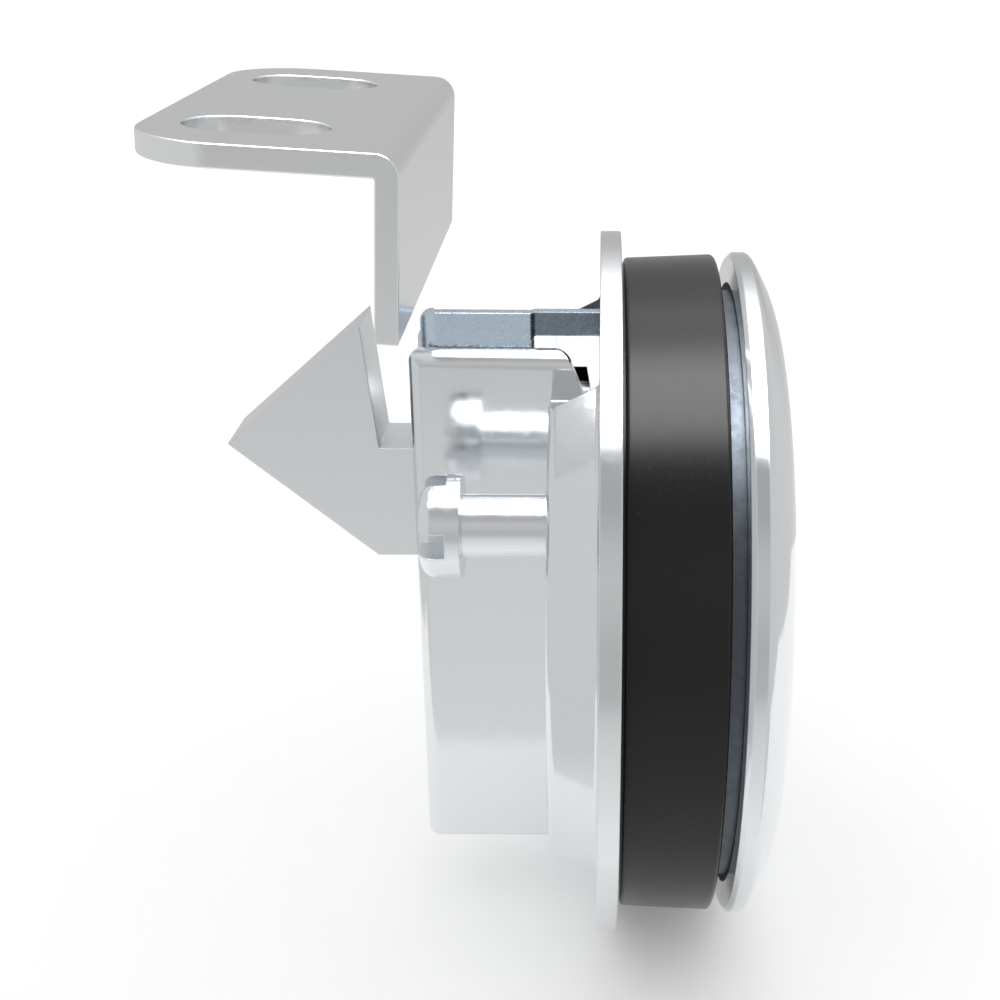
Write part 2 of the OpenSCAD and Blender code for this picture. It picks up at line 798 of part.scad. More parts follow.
module paddle() {
  color([0.84, 0.85, 0.87])
    difference() {
      union() {
        slab_x(paddle_back_x, paddle_front_x - paddle_bevel)
          paddle_outline(paddle_gap);
        slab_x(paddle_front_x - paddle_bevel - cut, paddle_front_x - paddle_bevel * half)
          paddle_outline(paddle_gap + paddle_bevel * half * half);
        slab_x(paddle_front_x - paddle_bevel * half - cut, paddle_front_x)
          paddle_outline(paddle_gap + paddle_bevel);
        for (s = [-1, 1])
          slab_y(s > 0 ? ear_out_y - ear_w : -ear_out_y, s > 0 ? ear_out_y : ear_w - ear_out_y)
            eye_outline([horn_x, horn_z], horn_r);
        slab_y(arm_t - arm_front_y, lug_far_y)
          eye_outline([rivet_x + hinge_x, rivet_low + rivet_pitch], rivet_pad_r);
      }
      rod_y(-pin_half, pin_half, -hinge_x, hinge_z, pin_r + hinge_clear);
      for (k = [0, 1])
        rod_y(-pin_half, pin_half, rivet_x, hinge_z + rivet_low + k * rivet_pitch,
          rivet_r + seat_clear);
    }
}

module paddle_pin() {
  color([0.65, 0.66, 0.68])
    difference() {
      rod_y(-pin_half, pin_half, -hinge_x, hinge_z, pin_r);
      for (s = [-1, 1])
        difference() {
          rod_y(groove_start(s), groove_start(s) + clip_t, -hinge_x, hinge_z, pin_r + over);
          rod_y(-pin_half, pin_half, -hinge_x, hinge_z, pin_r - groove_depth);
        }
    }
}

function groove_start(s) = s > 0 ? clip_y : -clip_y - clip_t;

module pin_clips() {
  bore = pin_r - groove_depth + seat_clear;
  color([0.35, 0.35, 0.37])
    for (s = [-1, 1])
      difference() {
        rod_y(groove_start(s) + seat_clear, groove_start(s) + clip_t - seat_clear, -hinge_x,
          hinge_z, clip_r);
        rod_y(-pin_half, pin_half, -hinge_x, hinge_z, bore);
        block(-hinge_x - clip_r - over, -hinge_x, -pin_half, pin_half, hinge_z - bore,
          hinge_z + bore);
      }
}

module torsion_spring() {
  width = torsion_turns * torsion_pitch;
  y0 = torsion_y - width * half;
  sweep = 360 * torsion_turns + torsion_exit;
  steps = torsion_turns * wire_steps;
  turn = [for (i = [0 : steps]) let (a = sweep * i / steps)
    [torsion_r * cos(a) - hinge_x, y0 + width * i / steps, hinge_z + torsion_r * sin(a)]];
  leg_x = torsion_r - hinge_x;
  reach = (turn[steps][0] - hook_x) / sin(torsion_exit);
  hook_z = turn[steps][2] + reach * cos(torsion_exit);
  hook_end = ear_out_y - half * ear_w;
  wire(concat(
    [[leg_x, y0, leg_low_z], [leg_x, y0, hinge_z - over]],
    turn,
    [[hook_x + torsion_wire_r, y0 + width, hook_z - torsion_wire_r],
      [hook_x, y0 + width + torsion_wire_r, hook_z],
      [hook_x, hook_end, hook_z]]), torsion_wire_r);
}

module paddle_spring_near() {
  color([0.55, 0.56, 0.58])
    mirror([0, 1, 0])
      torsion_spring();
}

module paddle_spring_far() {
  color([0.55, 0.56, 0.58])
    torsion_spring();
}

module paddle_bumper() {
  color([0.08, 0.08, 0.08])
    rod_x(bezel_rim_h - bumper_seat, paddle_back_x - seat_clear * 4, 0, bumper_z, bumper_r);
}

module arm_back_outline() {
  e = arm_corner;
  polygon(concat(
    [[-arm_end_x, foot_z], [-arm_end_x, arm_top_z - e]],
    arc(e - arm_end_x, arm_top_z - e, e, 180, 90),
    [[-arm_step_x, arm_top_z], [-arm_step_x, foot_z + foot_t + e],
      [-arm_step_x - e, foot_z]]));
}

module arm_front_outline() {
  back = -hinge_x - upright_back;
  front = upright_front - hinge_x;
  low = arm_top_z - arm_strip_h;
  polygon([
    [arm_joggle - arm_step_x, low],
    [back - over, low],
    [back, low - over],
    [back, hinge_z],
    [front, hinge_z],
    [front, arm_top_z - upright_cut],
    [front - upright_cut, arm_top_z],
    [arm_joggle - arm_step_x, arm_top_z]]);
  translate([-hinge_x, hinge_z])
    circle(upright_front);
}

// What the arm's back bend leaves away, seen from above
module bend_outline() {
  end = -arm_end_x;
  near = -arm_back_y;
  r = arm_bend_r;
  difference() {
    translate([end - over, near - over])
      square(r + over);
    translate([end + r, near + r])
      circle(r);
  }
}

module release_arm() {
  near = -arm_back_y;
  step = arm_back_y - arm_front_y;
  color([0.6, 0.66, 0.72])
    difference() {
      union() {
        slab_y(near, near + arm_t)
          arm_back_outline();
        block(-arm_end_x, -arm_step_x - arm_corner, near, arm_back_y, foot_z, foot_z + foot_t);
        block(-arm_end_x, arm_t - arm_end_x, near, arm_back_y, foot_z,
          arm_top_z - arm_corner);
        translate([0, 0, arm_top_z - arm_strip_h])
          linear_extrude(arm_strip_h)
            polygon([[-arm_step_x - cut, near], [arm_joggle - arm_step_x + cut, near + step],
              [arm_joggle - arm_step_x + cut, near + step + arm_t],
              [-arm_step_x - cut, near + arm_t]]);
        slab_y(-arm_front_y, arm_t - arm_front_y)
          arm_front_outline();
      }
      translate([0, 0, foot_z - over])
        linear_extrude(arm_top_z)
          bend_outline();
      rod_y(-pin_half, pin_half, -hinge_x, hinge_z, pin_r + hinge_clear);
      for (k = [0, 1])
        rod_y(-pin_half, 0, rivet_x, hinge_z + rivet_low + k * rivet_pitch,
          rivet_r + seat_clear);
    }
}

module arm_rivets() {
  near = -arm_front_y;
  far = lug_far_y;
  color([0.7, 0.71, 0.73])
    for (k = [0, 1]) {
      z = hinge_z + rivet_low + k * rivet_pitch;
      rod_y(near - rivet_head_h * half, far + rivet_head_h * half, rivet_x, z, rivet_r);
      rod_y(near - rivet_head_h, near, rivet_x, z, rivet_head_r);
      rod_y(far, far + rivet_head_h, rivet_x, z, rivet_head_r);
    }
}

module strike_side_outline() {
  difference() {
    union() {
      translate([-strike_top_len, -strike_t])
        square([strike_top_len - strike_bend_r, strike_t]);
      translate([-strike_t, -strike_leg_h])
        square([strike_t, strike_leg_h - strike_bend_r]);
      translate([-strike_bend_r, -strike_bend_r])
        circle(strike_bend_r);
      translate([-2 * strike_bend_r, -2 * strike_bend_r])
        square([strike_bend_r, 2 * strike_bend_r]);
    }
    translate([-strike_top_len - over, -strike_leg_h - over])
      square([strike_top_len + over - strike_t, strike_leg_h + over - strike_t]);
  }
}

module slot_outline() {
  flat = slot_len - slot_w;
  square([flat, slot_w], center = true);
  for (a = [-1, 1])
    translate([a * flat * half, 0])
      circle(slot_w * half);
}

module strike() {
  r = strike_corner_r;
  color([0.62, 0.63, 0.65])
    translate([-strike_x, 0, strike_z])
      rotate([0, strike_tilt, 0])
        difference() {
          intersection() {
            slab_y(-strike_w * half, strike_w * half)
              strike_side_outline();
            translate([0, 0, -strike_leg_h - over])
              linear_extrude(strike_leg_h + 2 * over)
                rounded_rect(2 * strike_top_len, strike_w, r);
          }
          for (s = [-1, 1])
            translate([-slot_x, s * slot_y, -2 * strike_t])
              linear_extrude(3 * strike_t)
                slot_outline();
        }
}

bezel();
spacer_ring();
rear_housing();
bolt();
contact_pin();
bolt_spring_front();
bolt_spring_rear();
guide_pin_front();
guide_pin_rear();
retainer_plate();
retainer_screws();
clamp_screws();
thread_inserts();
paddle();
paddle_pin();
pin_clips();
paddle_spring_near();
paddle_spring_far();
paddle_bumper();
release_arm();
arm_rivets();
strike();
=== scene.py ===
import math
import bpy
from mathutils import Matrix, Vector


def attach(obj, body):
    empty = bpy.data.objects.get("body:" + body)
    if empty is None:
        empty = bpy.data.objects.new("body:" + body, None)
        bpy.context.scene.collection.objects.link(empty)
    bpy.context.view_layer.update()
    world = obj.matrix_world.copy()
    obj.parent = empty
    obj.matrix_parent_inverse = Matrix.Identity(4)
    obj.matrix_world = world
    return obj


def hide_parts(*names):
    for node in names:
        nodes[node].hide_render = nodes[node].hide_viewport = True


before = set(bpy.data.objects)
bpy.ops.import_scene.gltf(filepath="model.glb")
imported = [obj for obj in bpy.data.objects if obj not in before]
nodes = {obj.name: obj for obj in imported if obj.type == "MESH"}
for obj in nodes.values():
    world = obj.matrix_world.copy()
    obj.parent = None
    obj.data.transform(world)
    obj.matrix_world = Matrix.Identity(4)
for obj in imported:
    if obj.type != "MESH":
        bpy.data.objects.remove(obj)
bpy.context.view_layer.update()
mm = 0.001
scene = bpy.context.scene


def deselect():
    bpy.ops.object.select_all(action="DESELECT")


def makeActive(piece):
    deselect()
    piece.select_set(True)
    bpy.context.view_layer.objects.active = piece


def editAll(piece):
    makeActive(piece)
    bpy.ops.object.mode_set(mode="EDIT")
    bpy.ops.mesh.select_all(action="SELECT")


def objectMode():
    bpy.ops.object.mode_set(mode="OBJECT")


def arc(cx, cy, radius, start, end, steps=8):
    return [(cx + radius * math.cos(math.radians(start + (end - start) * i / steps)),
             cy + radius * math.sin(math.radians(start + (end - start) * i / steps)))
            for i in range(steps + 1)]


def drawOutline(name, points, place, filled=True):
    # a ring of corners, moved one by one to the outline's points (given in mm)
    deselect()
    bpy.ops.mesh.primitive_circle_add(vertices=len(points), radius=mm,
                                      fill_type="NGON" if filled else "NOTHING")
    piece = bpy.context.object
    piece.name = name
    piece.data.name = name
    for vertex, point in zip(piece.data.vertices, points):
        vertex.co = place(*point)
    return piece


def sideView(y):
    return lambda a, b: Vector((a * mm, y * mm, b * mm))


def planView(z):
    return lambda a, b: Vector((a * mm, b * mm, z * mm))


def faceView(x):
    return lambda a, b: Vector((x * mm, a * mm, b * mm))


def extrude(piece, step):
    editAll(piece)
    bpy.ops.mesh.extrude_region_move(
        TRANSFORM_OT_translate={"value": tuple(v * mm for v in step)})
    bpy.ops.mesh.select_all(action="SELECT")
    bpy.ops.mesh.normals_make_consistent(inside=False)
    objectMode()
    return piece


def slab(name, points, view, start, thick):
    # view is "side", "plan" or "face"; the outline is extruded across it
    place = {"side": sideView, "plan": planView, "face": faceView}[view](start)
    step = {"side": (0, thick, 0), "plan": (0, 0, thick), "face": (thick, 0, 0)}[view]
    return extrude(drawOutline(name, points, place), step)


def lathe(name, profile, y=0, z=0, steps=160, closed=True):
    # profile holds (x, radius) points; it is spun about the line along X through (y, z)
    piece = drawOutline(name, profile, lambda a, r: Vector((a * mm, y * mm, (z + r) * mm)),
                        filled=False)
    editAll(piece)
    if not closed:
        bpy.ops.mesh.select_all(action="DESELECT")
        objectMode()
        last = len(profile) - 1
        for edge in piece.data.edges:
            edge.select = set(edge.vertices) == {0, last}
        bpy.ops.object.mode_set(mode="EDIT")
        bpy.ops.mesh.select_mode(type="EDGE")
        bpy.ops.mesh.delete(type="EDGE")
        bpy.ops.mesh.select_mode(type="VERT")
        bpy.ops.mesh.select_all(action="SELECT")
    bpy.ops.mesh.spin(steps=steps, angle=2 * math.pi, center=(0, y * mm, z * mm), axis=(1, 0, 0))
    bpy.ops.mesh.select_all(action="SELECT")
    bpy.ops.mesh.remove_doubles(threshold=1e-6)
    bpy.ops.mesh.dissolve_degenerate(threshold=1e-7)
    bpy.ops.mesh.select_all(action="SELECT")
    bpy.ops.mesh.normals_make_consistent(inside=False)
    objectMode()
    return piece


def bar(name, low, high, axis, radius, y, z, steps=48):
    # a round bar along an axis: X takes (y, z), Y takes (x, z), Z takes (x, y)
    deselect()
    middle = (low + high) / 2
    spot = {"x": (middle, y, z), "y": (y, middle, z), "z": (y, z, middle)}[axis]
    turn = {"x": (0, math.pi / 2, 0), "y": (math.pi / 2, 0, 0), "z": (0, 0, 0)}[axis]
    bpy.ops.mesh.primitive_cylinder_add(vertices=steps, radius=radius * mm,
                                        depth=(high - low) * mm,
                                        location=[v * mm for v in spot], rotation=turn)
    piece = bpy.context.object
    piece.name = name
    piece.data.name = name
    bpy.ops.object.transform_apply(location=True, rotation=True, scale=True)
    return piece


def block(name, low, high):
    deselect()
    bpy.ops.mesh.primitive_cube_add(size=1, location=[(a + b) / 2 * mm for a, b in zip(low, high)])
    piece = bpy.context.object
    piece.name = name
    piece.scale = [(b - a) * mm for a, b in zip(low, high)]
    bpy.ops.object.transform_apply(location=True, rotation=True, scale=True)
    return piece


def applyModifier(piece, kind, **settings):
    makeActive(piece)
    modifier = piece.modifiers.new(kind.lower(), kind)
    for key, value in settings.items():
        setattr(modifier, key, value)
    bpy.ops.object.modifier_apply(modifier=modifier.name)


def combine(piece, how, *others):
    for other in others:
        applyModifier(piece, "BOOLEAN", operation=how, object=other, solver="EXACT")
        bpy.data.objects.remove(other)
    return piece


def roundEdges(piece, width, segments=3, angle=35):
    applyModifier(piece, "BEVEL", width=width * mm, segments=segments, limit_method="ANGLE",
                  angle_limit=math.radians(angle), miter_outer="MITER_ARC",
                  use_clamp_overlap=True, harden_normals=False)


def tidyFaces(piece):
    # joins the flat scraps that a cut leaves, so that the bevel runs clean
    editAll(piece)
    bpy.ops.mesh.remove_doubles(threshold=2e-6)
    bpy.ops.mesh.dissolve_limited(angle_limit=math.radians(0.4))
    bpy.ops.mesh.select_all(action="SELECT")
    bpy.ops.mesh.normals_make_consistent(inside=False)
    objectMode()


def finishPiece(piece, material, body, *standsFor, slot=None, smooth=True, angle=30):
    makeActive(piece)
    if smooth:
        bpy.ops.object.shade_smooth_by_angle(angle=math.radians(angle))
        applyModifier(piece, "WEIGHTED_NORMAL", keep_sharp=True, weight=60)
    piece.data.materials.clear()
    piece.data.materials.append(material)
    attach(piece, body)
    if standsFor:
        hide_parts(*standsFor)
    return piece


def paint(piece, material, choose):
    # gives a second material to the faces whose middle, in mm, is chosen
    piece.data.materials.append(material)
    for face in piece.data.polygons:
        if choose(face.center / mm):
            face.material_index = 1


def newSocket(group, name, direction, kind, value=None):
    socket = group.interface.new_socket(name=name, in_out=direction, socket_type=kind)
    if value is not None:
        socket.default_value = value


def buildGrainGroup():
    # fine mottling: gives a roughness, a tint mask and a bumped normal
    group = bpy.data.node_groups.new("fineGrain", "ShaderNodeTree")
    newSocket(group, "Stretch", "INPUT", "NodeSocketVector", (1, 1, 1))
    newSocket(group, "Scale", "INPUT", "NodeSocketFloat", 900)
    newSocket(group, "Low", "INPUT", "NodeSocketFloat", 0.2)
    newSocket(group, "High", "INPUT", "NodeSocketFloat", 0.3)
    newSocket(group, "Depth", "INPUT", "NodeSocketFloat", 0.00001)
    newSocket(group, "Edge", "INPUT", "NodeSocketFloat", 0.0002)
    newSocket(group, "Roughness", "OUTPUT", "NodeSocketFloat")
    newSocket(group, "Mask", "OUTPUT", "NodeSocketFloat")
    newSocket(group, "Normal", "OUTPUT", "NodeSocketVector")
    tree, link = group.nodes, group.links.new
    entry, leave = tree.new("NodeGroupInput"), tree.new("NodeGroupOutput")
    place = tree.new("ShaderNodeTexCoord")
    stretch = tree.new("ShaderNodeVectorMath")
    stretch.operation = "MULTIPLY"
    noise = tree.new("ShaderNodeTexNoise")
    noise.inputs["Detail"].default_value = 6
    noise.inputs["Roughness"].default_value = 0.65
    spread = tree.new("ShaderNodeMapRange")
    spread.inputs["From Min"].default_value = 0.3
    spread.inputs["From Max"].default_value = 0.7
    bump = tree.new("ShaderNodeBump")
    bump.inputs["Strength"].default_value = 1
    soften = tree.new("ShaderNodeBevel")
    soften.samples = 4
    link(place.outputs["Object"], stretch.inputs[0])
    link(entry.outputs["Stretch"], stretch.inputs[1])
    link(stretch.outputs[0], noise.inputs["Vector"])
    link(entry.outputs["Scale"], noise.inputs["Scale"])
    link(noise.outputs["Fac"], spread.inputs["Value"])
    link(entry.outputs["Low"], spread.inputs["To Min"])
    link(entry.outputs["High"], spread.inputs["To Max"])
    link(noise.outputs["Fac"], bump.inputs["Height"])
    link(entry.outputs["Depth"], bump.inputs["Distance"])
    link(entry.outputs["Edge"], soften.inputs["Radius"])
    link(soften.outputs["Normal"], bump.inputs["Normal"])
    link(spread.outputs["Result"], leave.inputs["Roughness"])
    link(noise.outputs["Fac"], leave.inputs["Mask"])
    link(bump.outputs["Normal"], leave.inputs["Normal"])
    return group


grainGroup = buildGrainGroup()


def finish(name, color, dark, low, high, scale, depth, edge=0.0002, metal=1.0,
           stretch=(1, 1, 1), coat=0.0, specular=0.5):
    material = bpy.data.materials.new(name)
    material.use_nodes = True
    tree, link = material.node_tree.nodes, material.node_tree.links.new
    shader = tree["Principled BSDF"]
    shader.inputs["Metallic"].default_value = metal
    shader.inputs["Coat Weight"].default_value = coat
    shader.inputs["Specular IOR Level"].default_value = specular
    grain = tree.new("ShaderNodeGroup")
    grain.node_tree = grainGroup
    for key, value in (("Stretch", stretch), ("Scale", scale), ("Low", low), ("High", high),
                       ("Depth", depth), ("Edge", edge)):
        grain.inputs[key].default_value = value
    tint = tree.new("ShaderNodeMix")
    tint.data_type = "RGBA"
    tint.inputs[6].default_value = (*dark, 1)
    tint.inputs[7].default_value = (*color, 1)
    link(grain.outputs["Mask"], tint.inputs[0])
    link(tint.outputs[2], shader.inputs["Base Color"])
    link(grain.outputs["Roughness"], shader.inputs["Roughness"])
    link(grain.outputs["Normal"], shader.inputs["Normal"])
    return material


polishedBezel = finish("polishedBezel", (0.78, 0.8, 0.815), (0.76, 0.78, 0.8), 0.06, 0.1,
                       700, 0.0000004)
polishedHousing = finish("polishedHousing", (0.8, 0.82, 0.835), (0.78, 0.8, 0.815), 0.09, 0.15,
                         900, 0.000001)
# dark cast material: the bezel's cast rear faces, and painted shade on the housing's shoulder
castInsideAndPaintedShade = finish("castInsideAndPaintedShade", (0.24, 0.27, 0.3), (0.07, 0.08, 0.1), 0.35, 0.6,
                    900, 0.00002)
satinBolt = finish("satinBolt", (0.82, 0.84, 0.85), (0.79, 0.81, 0.83), 0.28, 0.36, 2600, 0.000001)
strikeSteel = finish("strikeSteel", (0.85, 0.86, 0.87), (0.81, 0.82, 0.83), 0.16, 0.24,
                     1500, 0.0000005, edge=0.0001)
armSteel = finish("armSteel", (0.64, 0.74, 0.84), (0.54, 0.65, 0.75), 0.18, 0.34, 2400, 0.000006)
# painted shade: a darker copy of the arm's steel, standing in for the shaded part of the arm
armPaintedShade = finish("armPaintedShade", (0.26, 0.3, 0.34), (0.16, 0.2, 0.24), 0.18, 0.34, 2400, 0.000006)
brightScrew = finish("brightScrew", (0.84, 0.86, 0.88), (0.79, 0.81, 0.84), 0.12, 0.22,
                     1600, 0.000002)
springWire = finish("springWire", (0.5, 0.51, 0.53), (0.4, 0.41, 0.43), 0.22, 0.36, 1800, 0.000002)
insertBrass = finish("insertBrass", (0.78, 0.6, 0.3), (0.66, 0.5, 0.24), 0.2, 0.34, 1500, 0.000002)
blackRing = finish("blackRing", (0.011, 0.011, 0.011), (0.008, 0.008, 0.008), 0.2, 0.28,
                   2200, 0.000001, metal=0.0, specular=0.25)
rubberPad = finish("rubberPad", (0.03, 0.03, 0.03), (0.02, 0.02, 0.02), 0.6, 0.75, 1500,
                   0.00001, metal=0.0, specular=0.3)
print("materials made")


boltForm = {
    "tip": (-49.5, 16.4), "top": (-35.8, 28.4), "notch": (-34.5, 16.05), "low": (-35.2, 4.57),
    "saddle": (-27, -21, 18.4), "sliderBack": -29.4, "sliderFront": -11.0,
    "shoulder": (-16.8, 12), "sliderLow": -8, "half": 4, "edge": 0.22,
}


def makeBolt(f):
    outline = [f["tip"], f["top"], f["notch"], (f["saddle"][0], f["notch"][1]),
               (f["saddle"][0], f["saddle"][2]), (f["saddle"][1], f["saddle"][2]),
               (f["saddle"][1], f["notch"][1]), (f["shoulder"][0], f["notch"][1]),
               f["shoulder"], (f["sliderFront"], f["shoulder"][1]),
               (f["sliderFront"], f["sliderLow"]), (f["sliderBack"], f["sliderLow"]),
               (f["sliderBack"], f["low"][1]), f["low"]]
    bolt = slab("triangularBolt", outline, "side", -f["half"], 2 * f["half"])
    combine(bolt, "DIFFERENCE",
            bar("pinBore", -6, 6, "y", 2.01, -24, 18),
            bar("rearPocket", -9, 0, "z", 3, -25.3, 0),
            bar("frontPocket", -9, 0, "z", 3, -15.1, 0))
    tidyFaces(bolt)
    roundEdges(bolt, f["edge"])
    return finishPiece(bolt, satinBolt, "bolt", "bolt", slot="satin_steel")


makeBolt(boltForm)
print("bolt made")


strikeForm = {
    "width": 50, "thick": 2, "topLength": 22.5, "leg": 15.4, "bend": 2, "corner": 8,
    "slotLength": 12.4, "slotWidth": 8.5, "slotAt": 13.2, "slotSide": 14.6,
    "place": (-28.48, 0, 47.8), "tilt": 3.09, "edge": 0.18,
}


def makeStrike(f):
    thick, bend, half = f["thick"], f["bend"], f["width"] / 2
    outline = [(-f["topLength"], -thick), (-f["topLength"], 0)] \
        + arc(-bend, -bend, bend, 90, 0, 10) \
        + [(0, -f["leg"]), (-thick, -f["leg"]), (-thick, -thick)]
    strike = slab("slottedStrike", outline, "side", -half, f["width"])
    corner = f["corner"]
    keep = arc(corner - f["topLength"], corner - half, corner, 180, 270, 16) \
        + [(3, -half - 1), (3, half + 1)] \
        + arc(corner - f["topLength"], half - corner, corner, 90, 180, 16)
    keep[17] = (3, -half)
    keep[18] = (3, half)
    combine(strike, "INTERSECT", slab("cornerTrim", keep, "plan", -f["leg"] - 2, f["leg"] + 4))
    flat = (f["slotLength"] - f["slotWidth"]) / 2
    for side in (-1, 1):
        slot = arc(flat - f["slotAt"], side * f["slotSide"], f["slotWidth"] / 2, -90, 90, 18) \
            + arc(-flat - f["slotAt"], side * f["slotSide"], f["slotWidth"] / 2, 90, 270, 18)
        combine(strike, "DIFFERENCE", slab("slotCut", slot, "plan", -thick - 2, thick + 4))
    tidyFaces(strike)
    roundEdges(strike, f["edge"], segments=3, angle=60)
    place = Matrix.Translation([v * mm for v in f["place"]]) \
        @ Matrix.Rotation(math.radians(f["tilt"]), 4, "Y")
    strike.data.transform(place)
    return finishPiece(strike, strikeSteel, "housing", "strike", slot="strike_steel")


makeStrike(strikeForm)
print("strike made")


armForm = {
    "end": -30.2, "step": -19.45, "joggle": 0.45, "backY": -3.85, "frontY": -3.4, "thick": 1.4,
    "top": 29.7, "strip": 2.3, "foot": 20.3, "footThick": 1.5, "corner": 1.3, "bend": 2,
    "upright": (-7.5, -0.6), "axis": (-4, 16), "cut": 2, "edge": 0.18,
}


def makeArm(f):
    back, front, t = f["backY"], f["frontY"], f["thick"]
    end, step, far = f["end"], f["step"], -f["backY"]
    joggled = step + f["joggle"]
    plan = [(end, far), (end, back + f["bend"])] \
        + arc(end + f["bend"], back + f["bend"], f["bend"], 180, 270, 6)[1:] \
        + [(step, back), (joggled, front), (1, front), (1, front + t), (joggled, front + t),
           (step, back + t), (end + t, back + t), (end + t, far)]
    arm = slab("releaseArm", plan, "plan", 8, 26)
    left, right = f["upright"]
    low, top, c = f["top"] - f["strip"], f["top"], f["corner"]
    eye = arc(f["axis"][0], f["axis"][1], (right - left) / 2 - 0.05, 0, -180, 12)
    side = [(end, f["foot"])] + arc(end + c, top - c, c, 180, 90, 6) \
        + [(right - f["cut"], top), (right, top - f["cut"])] + eye \
        + [(left, low - 1), (left - 1, low), (joggled, low), (step, low - 0.4),
           (step, f["foot"] + f["footThick"] + c), (step - c, f["foot"])]
    combine(arm, "INTERSECT", slab("sideTrim", side, "side", -6, 12))
    foot = block("foot", (end, back, f["foot"]), (step - c, far, f["foot"] + f["footThick"]))
    combine(arm, "UNION", foot)
    combine(arm, "DIFFERENCE", slab("returnTrim", [(-1.9, top + 1), (far + 1, top + 1),
                                                   (far + 1, 24), (1.5, 24), (-1.9, top - 1)],
                                    "face", end - 1, t + 1.1))
    combine(arm, "DIFFERENCE", bar("pinHole", -6, 2, "y", 1.55, -4, 16))
    tidyFaces(arm)
    roundEdges(arm, f["edge"])
    finishPiece(arm, armSteel, "paddle", "release_arm", slot="arm_steel")
    # painted shade: the arm's near faces right of the step get the darker steel, standing in for shade and a
    # dark reflection there
    paint(arm, armPaintedShade, lambda p: p.x > step and p.y < front + 0.1)
    return arm


makeArm(armForm)
print("release arm made")


screwForm = {
    "side": 18, "z": 13.65, "headX": -28.9, "seatX": -25.16, "endX": -0.1, "shank": 2.95,
    "head": 4.72, "crown": 1.4, "slot": 2.3, "slotDepth": 2.4, "slotTurn": -2.7, "edge": 0.12,
}


def makeClampScrews(f):
    screws = []
    for y in (-f["side"], f["side"]):
        c = f["crown"]
        profile = [(f["headX"], 0)] + arc(f["headX"] + c, f["head"] - c, c, 180, 90, 8) \
            + [(f["seatX"], f["head"]), (f["seatX"], f["shank"]),
               (f["endX"] - 1.5, f["shank"]), (f["endX"], f["shank"] - 1.5), (f["endX"], 0)]
        screw = lathe("clampScrew", profile, y, f["z"], steps=72, closed=False)
        half, depth = f["slot"] / 2, f["headX"] + f["slotDepth"]
        for turn in (0, 90):
            slot = block("slot", (f["headX"] - 1, y - 6, f["z"] - half), (depth, y + 6, f["z"] + half))
            makeActive(slot)
            bpy.ops.transform.rotate(value=math.radians(f["slotTurn"] + turn), orient_axis="X",
                                     center_override=(0, y * mm, f["z"] * mm))
            combine(screw, "DIFFERENCE", slot)
        tidyFaces(screw)
        roundEdges(screw, f["edge"], segments=2, angle=50)
        screws.append(screw)
    makeActive(screws[0])
    screws[1].select_set(True)
    bpy.ops.object.join()
    screws[0].name = "clampScrewPair"
    return finishPiece(screws[0], brightScrew, "housing", "clamp_screws", slot="fastener")


makeClampScrews(screwForm)
print("clamp screws made")


ringForm = {"backX": -10.8, "frontX": -1.5, "backR": 33.4, "frontR": 33.76, "bore": 30.4,
            "edge": 0.45, "groove": 0.3, "grooveR": 32.9, "backEdge": 0.45}


def makeRing(f):
    e, back = f["edge"], f["backEdge"]
    start = f["backX"] + f["groove"]
    profile = [(f["backX"], f["bore"]), (f["backX"], f["grooveR"]), (start, f["grooveR"])] \
        + arc(start + back, f["backR"] - back, back, 180, 90, 5) \
        + arc(f["frontX"] - e, f["frontR"] - e, e, 90, 0, 5) \
        + [(f["frontX"], f["bore"])]
    ring = lathe("spacerRing", profile, steps=180)
    return finishPiece(ring, blackRing, "housing", "spacer_ring", slot="black_ring")


makeRing(ringForm)
print("spacer ring made")


housingForm = {
    "backX": -31.2, "bossX": -17.45, "flangeX": -12.8, "frontX": -10.8, "flangeR": 36,
    "half": 5.65, "top": 26.45, "bottom": -28, "edge": 1.5, "topEdge": 1.9, "shoulder": (-17.4, 24.45, 2, 22),
    "farEnd": -19.5,
    "bossEdge": 1.3, "bossR": 27.65, "footR": 30.3, "fillet": 0.6,
    "valleyHalf": 15.5, "valleyLow": 20.2, "valleyHigh": 24.06,
    "slot": 4.1, "cavity": (-29.6, -24.9, 18.6), "opening": -3.8, "window": (5, 21.5, 31.2),
    "hollowX": -15.45, "hollowR": 26.4, "core": 10.5, "roof": 18.6, "pillar": 6,
    "screw": (18, 13.65, 3.3), "retainer": (7, 1.51), "retainerZ": (-22, 14),
    "guide": (1.41, -27.3), "guideX": (-25.3, -15.1),
}


def makeHousingBox(f):
    back, top, low, e, half = f["backX"], f["top"], f["bottom"], f["edge"], f["half"]
    shoulderX, shoulderZ, shoulderR, lean = f["shoulder"]
    side = arc(back + e / 2, low + e / 2, e / 2, 270, 180, 5) \
        + arc(back + e, top - e, e, 180, 90, 8) \
        + arc(shoulderX, shoulderZ, shoulderR, 90, lean, 10) \
        + [(-13.15, f["valleyLow"] - 1), (-11.5, f["valleyLow"] - 1), (-11.5, low)]
    box = slab("rearHousing", side, "side", -half, 2 * half)
    r = f["topEdge"]
    face = [(-half, low - 1), (half, low - 1)] + arc(half - r, top - r, r, 0, 90, 8) \
        + arc(r - half, top - r, r, 90, 180, 8)
    combine(box, "INTERSECT", slab("faceTrim", face, "face", back - 1, 25))
    plan = arc(back + e, half - e, e, 90, 180, 8) + arc(back + e, e - half, e, 180, 270, 8) \
        + [(-9, -half), (-9, half)]
    combine(box, "INTERSECT", slab("planTrim", plan, "plan", low - 1, top - low + 2))
    return box


